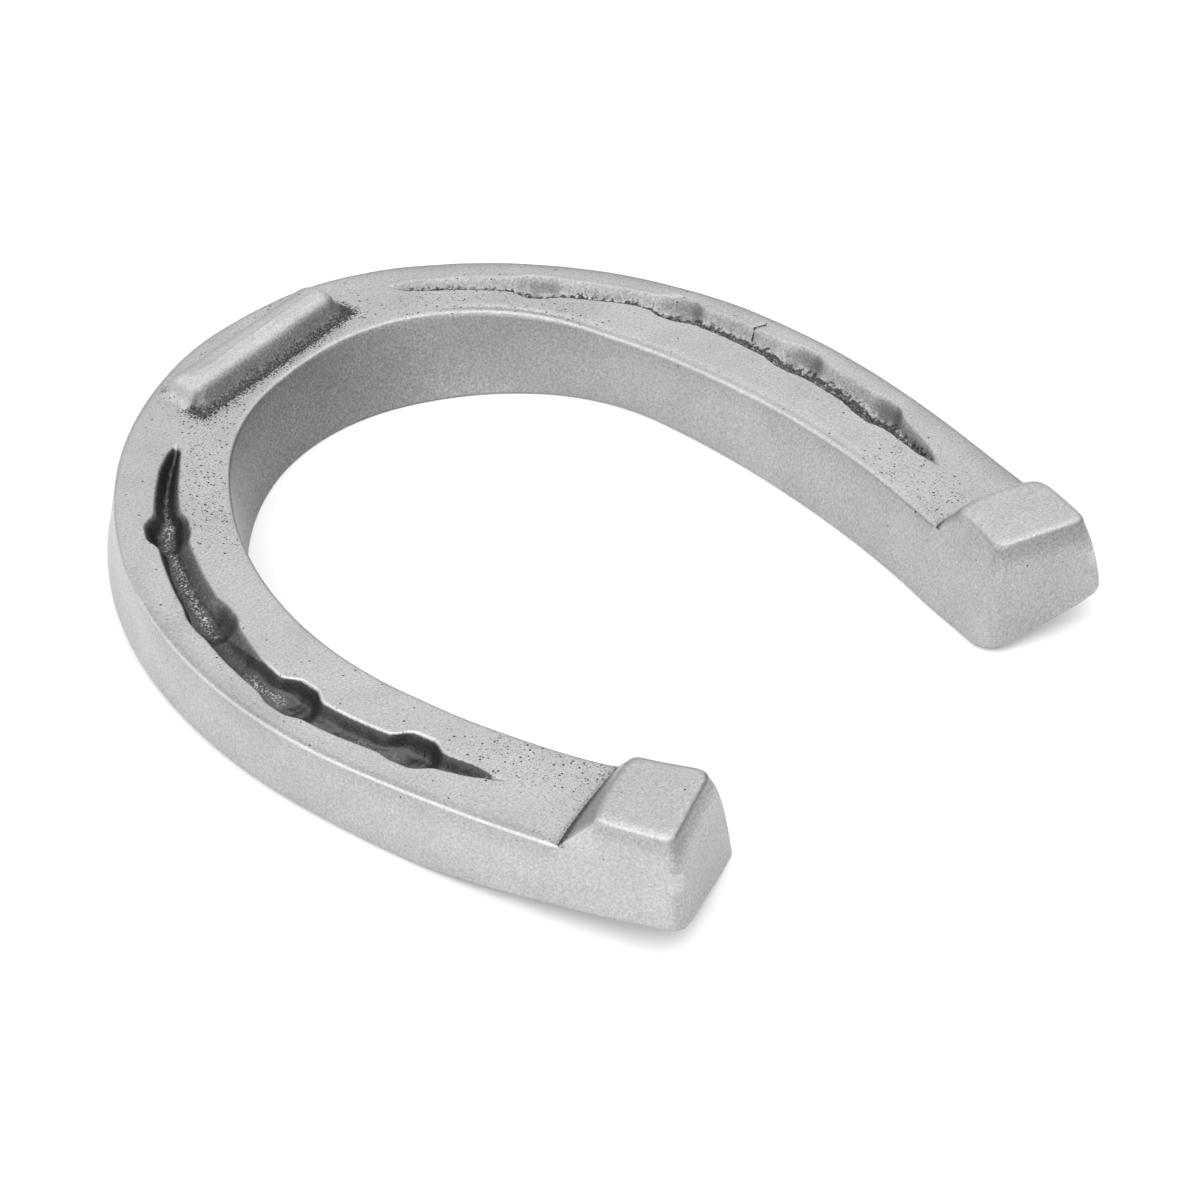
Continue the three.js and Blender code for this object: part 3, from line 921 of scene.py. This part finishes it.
# Sandy skin of a tumbled casting: fine grain, and slow clouds of duller metal.
def sandySkinGroup():
    tree = bpy.data.node_groups.new("sandySkin", "ShaderNodeTree")
    addSocket(tree, "Vector", "INPUT", "NodeSocketVector")
    addSocket(tree, "Grain Scale", "INPUT", "NodeSocketFloat", 2400.0)
    addSocket(tree, "Grain", "OUTPUT", "NodeSocketFloat")
    addSocket(tree, "Clouds", "OUTPUT", "NodeSocketFloat")
    addSocket(tree, "Height", "OUTPUT", "NodeSocketFloat")
    start = place(tree, "NodeGroupInput", -800, 0)
    end = place(tree, "NodeGroupOutput", 600, 0)
    coords = start.outputs["Vector"]
    fine = noiseNode(tree, coords, start.outputs["Grain Scale"], 3, -500, 200)
    fine.inputs["Roughness"].default_value = 0.62
    cloud = noiseNode(tree, coords, 85, 4, -500, -200)
    middle = noiseNode(tree, coords, 620, 3, -500, 0)
    grain = rangeNode(tree, fine.outputs["Fac"], 0.3, 0.7, x=-250, y=200)
    clouds = rangeNode(tree, cloud.outputs["Fac"], 0.35, 0.68, x=-250, y=-200)
    height = mathNode(tree, "MULTIPLY_ADD", middle.outputs["Fac"], 0.7, -50, 0, plus=grain)
    for key, value in (("Grain", grain), ("Clouds", clouds), ("Height", height)):
        feed(tree, end.inputs[key], value)
    return tree


# Small casting pits: dark specks whose number follows Density.
def castPitsGroup():
    tree = bpy.data.node_groups.new("castPits", "ShaderNodeTree")
    addSocket(tree, "Vector", "INPUT", "NodeSocketVector")
    addSocket(tree, "Scale", "INPUT", "NodeSocketFloat", 1900.0)
    addSocket(tree, "Density", "INPUT", "NodeSocketFloat", 0.1)
    addSocket(tree, "Pits", "OUTPUT", "NodeSocketFloat")
    start = place(tree, "NodeGroupInput", -900, 0)
    end = place(tree, "NodeGroupOutput", 600, 0)
    layers = []
    for row, factor in enumerate((1.0, 2.1)):
        y = 100 - 500 * row
        scale = times(tree, start.outputs["Scale"], factor, -750, y)
        cells = place(tree, "ShaderNodeTexVoronoi", -600, y)
        tree.links.new(start.outputs["Vector"], cells.inputs["Vector"])
        tree.links.new(scale, cells.inputs["Scale"])
        split = place(tree, "ShaderNodeSeparateColor", -350, y)
        tree.links.new(cells.outputs["Color"], split.inputs[0])
        chosen = mathNode(tree, "LESS_THAN", split.outputs[0], start.outputs["Density"], -150, y)
        size = rangeNode(tree, split.outputs[1], 0, 1, 0.14, 0.46, x=-150, y=y - 200)
        inside = mathNode(tree, "SUBTRACT", size, cells.outputs["Distance"], 0, y)
        core = rangeNode(tree, inside, 0.0, 0.16, x=150, y=y)
        layers.append(times(tree, core, chosen, 350, y))
    pits = mathNode(tree, "MAXIMUM", layers[0], layers[1], 450, 0)
    tree.links.new(pits, end.inputs["Pits"])
    return tree


skinGroup = sandySkinGroup()
pitsGroup = castPitsGroup()


def useGroup(tree, group, x, y, **values):
    node = place(tree, "ShaderNodeGroup", x, y, node_tree=group)
    for key, value in values.items():
        feed(tree, node.inputs[key], value)
    return node


def attributeOut(tree, name, x=-1700, y=500):
    node = place(tree, "ShaderNodeAttribute", x, y, attribute_name=name)
    return node.outputs["Fac"]


# A mask with its border broken up by noise; amount says how ragged it gets.
def raggedMask(tree, coords, mask, scale, amount, low, high, y):
    rough = noiseNode(tree, coords, scale, 4, -1500, y)
    push = rangeNode(tree, rough.outputs["Fac"], 0.32, 0.68, -0.5, 0.5, x=-1300, y=y)
    total = mathNode(tree, "MULTIPLY_ADD", push, amount, -1100, y, plus=mask)
    edge = rangeNode(tree, total, low, high, x=-950, y=y)
    return times(tree, edge, rangeNode(tree, mask, 0.0, 0.12, x=-950, y=y - 120), -800, y)


# Cast metal, with painted shade and painted highlights from masks. pitRange is a mask's name and the fewest
# and most pits;
# darkEdge is the name of a mask of dirt and painted shade and how its border breaks up; patinaMask is a
# function that builds two masks in the tree.
def castMaterial(name, pitRange, darkEdge, patinaMask=None):
    f = castFinish
    material = bpy.data.materials.new(name)
    material.use_nodes = True
    tree = material.node_tree
    shader = tree.nodes["Principled BSDF"]
    shader.inputs["Metallic"].default_value = 1.0
    coords = place(tree, "ShaderNodeTexCoord", -1700, 0).outputs["Object"]
    skin = useGroup(tree, skinGroup, -1400, 300, Vector=coords)
    grain, clouds = skin.outputs["Grain"], skin.outputs["Clouds"]
    zone, fewest, most = pitRange
    density = rangeNode(tree, attributeOut(tree, zone), 0, 1, fewest, most, x=-1500, y=500)
    pits = useGroup(tree, pitsGroup, -1400, 0, Vector=coords, Density=density)
    softClouds = times(tree, clouds, f["cloudAmount"], -1150, 300)
    colour = mixNode(tree, softClouds, f["bright"], f["dullAndShade"], -1000, 300)
    grainDark = times(tree, grain, f["grainAmount"], -1000, 150)
    colour = mixNode(tree, grainDark, colour, f["grain"], -800, 300)
    sandy = rangeNode(tree, grain, 0, 1, 0.85, 1.13, x=-700, y=600)
    # mix in the painted shade, broken a little by the grain
    paintedShade = times(tree, attributeOut(tree, "paintedShade", y=-600), sandy, -500, 600, True)
    colour = mixNode(tree, paintedShade, colour, f["paintedShade"], -350, 500)
    # dark marks from a mask: dirt, scratches and painted shade
    dirtAndShade = raggedMask(tree, coords, attributeOut(tree, darkEdge[0], y=1300), *darkEdge[1:], 1400)
    colour = mixNode(tree, dirtAndShade, colour, f["dirtAndShade"], -300, 400)
    if patinaMask:
        dark, fleck = patinaMask(tree, coords)
        wornAndHighlight = rangeNode(tree, grain, 0, 1, 1.0, 0.86, x=-400, y=700)
        dark = times(tree, dark, wornAndHighlight, -300, 700)
        colour = mixNode(tree, dark, colour, f["patina"], -200, 300)
        colour = mixNode(tree, fleck, colour, f["fleck"], -50, 300)
    # painted highlights, broken up by the clouds
    highlightBroken = rangeNode(tree, clouds, 0, 1, 1.0, 0.7, x=-200, y=600)
    paintedHighlight = times(tree, attributeOut(tree, "paintedHighlight", y=-800), highlightBroken, -100, 600)
    colour = mixNode(tree, paintedHighlight, colour, f["highlightColour"], 0, 500)
    speck = times(tree, pits.outputs["Pits"], f["pitAmount"], -200, 0)
    colour = mixNode(tree, speck, colour, f["pit"], 100, 300)
    rough = rangeNode(tree, grain, 0, 1, f["roughness"] - 0.05, f["roughness"] + 0.12, x=-600, y=-200)
    tree.links.new(colour, shader.inputs["Base Color"])
    tree.links.new(rough, shader.inputs["Roughness"])
    skinHeight = times(tree, skin.outputs["Height"], f["skinHeight"], -200, -400)
    height = mathNode(tree, "MULTIPLY_ADD", pits.outputs["Pits"], -f["pitHeight"], 0, -300, plus=skinHeight)
    bump = place(tree, "ShaderNodeBump", 200, -300)
    bump.inputs["Distance"].default_value = 1.0
    bump.inputs["Strength"].default_value = f["bumpStrength"]
    tree.links.new(height, bump.inputs["Height"])
    tree.links.new(bump.outputs["Normal"], shader.inputs["Normal"])
    return material


def shoeBarMaterial():
    def patina(tree, coords):
        mask = attributeOut(tree, "patina", y=700)
        dark = raggedMask(tree, coords, mask, 1200, attributeOut(tree, "ragged", y=820), 0.3, 0.65, 900)
        dark = times(tree, dark, attributeOut(tree, "patinaStrength", y=850), -650, 850)
        spots = noiseNode(tree, coords, 2600, 3, -1500, 1150)
        fleck = rangeNode(tree, spots.outputs["Fac"], 0.50, 0.62, x=-1300, y=1150)
        fleck = times(tree, fleck, attributeOut(tree, "fleckZone", y=1000), -1000, 1150)
        return dark, fleck

    return castMaterial("castShoeMetal", ("pitZone", 0.003, 0.55), ("dirtAndShade", 3000, 1.1, 0.45, 0.9), patina)


def calkMaterial(name):
    # the dark at the root is painted shade in the heel calks' valleys, and darker round the toe calk's foot
    return castMaterial(name, ("root", 0.005, 0.5), ("root", 2800, 0.8, 0.5, 1.1))


# Where the casting pits beside each fuller grow and fade: shares of the branch, parts of its width.
pitsBeside = {
    -1: {"grow": (0.10, 0.20), "fade": (0.28, 0.40), "across": (0.50, 0.62), "strength": 0.8},
    1: {"grow": (0.10, 0.18), "fade": (0.33, 0.42), "across": (0.52, 0.62), "strength": 0.45},
}


# Extra masks for the bar's finish, from where each vertex lies.
def finishMasks(obj):
    mesh = obj.data
    count = len(mesh.vertices)
    co = np.zeros(count * 3)
    mesh.vertices.foreach_get("co", co)
    co = co.reshape(-1, 3) / mm

    def read(name):
        v = np.zeros(count, np.float32)
        mesh.attributes[name].data.foreach_get("value", v)
        return v

    share, across, patina = read("share"), read("across"), read("patina")
    onTop = (across > 0).astype(float)
    left = co[:, 0] < 0
    cloud = bumps(co, 5, 2.2)
    # pits lie thickest beside the start of each fuller, before the heels and round the toe calk
    leftPits, rightPits = (smooth(share, *z["grow"]) * (1 - smooth(share, *z["fade"]))
                           * smooth(across, *z["across"]) * z["strength"]
                           for z in (pitsBeside[-1], pitsBeside[1]))
    heelPits = smooth(share, 0.72, 0.79) * smooth(across, 0.25, 0.8) * 0.5
    local = turn(co[:, :2] - toeCalk["centre"], -toeCalk["tilt"])
    foot = toeCalk["foot"]
    dx = np.maximum(np.maximum(local[:, 0] - foot[3], -foot[2] - local[:, 0]), 0)
    dy = np.maximum(np.maximum(local[:, 1] - foot[1], -foot[0] - local[:, 1]), 0)
    away = np.hypot(dx, dy)
    heelSide = smooth(-local[:, 1], -1.5, 2.5)
    calkPits = (1 - smooth(away, 0.8, 7.5)) * (0.25 + 0.75 * heelSide) * 0.9
    pitZone = np.where(left, leftPits, rightPits) + heelPits + calkPits + 0.05 + 0.05 * cloud
    pitZone = np.clip(pitZone, 0, 1)
    pitZone = pitZone * onTop * (1 - patina) + np.where(left, 0, 0.7) * patina
    # painted shade in the valley before each heel calk; darker round the foot of the toe calk, most on its
    # heel side
    valleyGap = np.where(left, behindValley(co[:, :2], -1), behindValley(co[:, :2], 1))
    valleyShade = smooth(valleyGap, -2.6, -0.1) * smooth(-co[:, 1], 40, 45)
    calkFootDark = (1 - smooth(away, 0.2, 3.4)) * (0.25 + 0.75 * heelSide)
    dirtAndShade = np.clip(np.maximum(valleyShade * 0.4, calkFootDark * 0.95), 0, 1) * onTop
    dirtAndShade = np.maximum(dirtAndShade, read("scratch") * 1.2)
    addMask(mesh, "pitZone", pitZone)
    addMask(mesh, "dirtAndShade", dirtAndShade)
    addMask(mesh, "patinaStrength", np.where(left, 0.93, 1.0))
    addMask(mesh, "ragged", np.where(left, 0.35, 1.3))
    addMask(mesh, "fleckZone", read("flecks") * 0.9)


print("building the shoe bar")
bar = makeShoeBar()
finishMasks(bar)
bar.data.materials.append(shoeBarMaterial())
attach(bar, "root")
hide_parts("shoe_bar")

print("building the heel calks")
heelMetal = calkMaterial("heelCalkMetal")
for side, name, node in ((-1, "heelCalkLeft", "heel_calk_left"), (1, "heelCalkRight", "heel_calk_right")):
    calk = makeHeelCalk(side, name)
    calk.data.materials.append(heelMetal)
    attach(calk, "root")
    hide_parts(node)

print("building the toe calk")
toe = makeToeCalk()
toe.data.materials.append(calkMaterial("toeCalkMetal"))
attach(toe, "root")
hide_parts("toe_calk")

studio = {
    "azimuth": -47.90,
    "elevation": 40.547,
    "distance": 0.5434,
    "target": (0.0009, -0.01386, 0.0),
    "lens": 100,
    "floorSize": 6.0,
    "floorDrop": 0.00005,
    "floorColour": (0.92, 0.92, 0.92, 1),
    "horizon": 0.30,
    "zenith": 1.05,
    "windowSide": (-0.78, -0.45, 0.44),
    "windowGlow": 0.9,
    "light": {"azimuth": 100, "elevation": 62, "distance": 1.2, "size": 1.6, "power": 2},
}


# Puts a camera or light at a distance from a target, looking at it.
def aim(obj, azimuth, elevation, distance, target=(0, 0, 0)):
    a, e = math.radians(azimuth), math.radians(elevation)
    back = Vector((math.sin(a) * math.cos(e), -math.cos(a) * math.cos(e), math.sin(e)))
    obj.location = Vector(target) + back * distance
    obj.rotation_mode = "QUATERNION"
    obj.rotation_quaternion = (-back).to_track_quat("-Z", "Y")


def makeCamera():
    data = bpy.data.cameras.new("camera")
    data.lens = studio["lens"]
    data.sensor_width = 36
    data.clip_start = 0.01
    data.clip_end = 50
    camera = addToScene("camera", data)
    aim(camera, studio["azimuth"], studio["elevation"], studio["distance"], studio["target"])
    bpy.context.scene.camera = camera


def makeLight():
    light = studio["light"]
    data = bpy.data.lights.new("overhead", "AREA")
    data.shape = "DISK"
    data.size = light["size"]
    data.energy = light["power"]
    aim(addToScene("overhead", data), light["azimuth"], light["elevation"], light["distance"])


def makeFloor():
    half, z = studio["floorSize"] / 2, -studio["floorDrop"]
    mesh = bpy.data.meshes.new("floor")
    corners = [(-half, -half, z), (half, -half, z), (half, half, z), (-half, half, z)]
    mesh.from_pydata(corners, [], [(0, 1, 2, 3)])
    floor = addToScene("floor", mesh)
    material = bpy.data.materials.new("paleFloor")
    material.use_nodes = True
    shader = material.node_tree.nodes["Principled BSDF"]
    shader.inputs["Base Color"].default_value = studio["floorColour"]
    shader.inputs["Roughness"].default_value = 0.9
    mesh.materials.append(material)


# Even white room, brighter overhead and on the side of the window.
def makeWorld():
    world = bpy.data.worlds.new("studio")
    bpy.context.scene.world = world
    world.use_nodes = True
    tree = world.node_tree
    background = tree.nodes["Background"]
    coords = place(tree, "ShaderNodeTexCoord", -900, 0)
    split = place(tree, "ShaderNodeSeparateXYZ", -700, 0)
    tree.links.new(coords.outputs["Generated"], split.inputs[0])
    height = rangeNode(tree, split.outputs[2], 0, 0.62, studio["horizon"], studio["zenith"], -500, 100)
    window = place(tree, "ShaderNodeVectorMath", -700, -200, operation="DOT_PRODUCT")
    tree.links.new(coords.outputs["Generated"], window.inputs[0])
    window.inputs[1].default_value = studio["windowSide"]
    glow = rangeNode(tree, window.outputs["Value"], -0.2, 0.9, 0, studio["windowGlow"], -500, -200)
    total = mathNode(tree, "ADD", height, glow, -300, 0)
    tree.links.new(total, background.inputs["Strength"])
    background.inputs["Color"].default_value = (1, 1, 1, 1)


print("setting up the studio")
makeFloor()
makeWorld()
makeLight()
makeCamera()
bpy.context.scene.view_settings.view_transform = "Standard"

print("done")
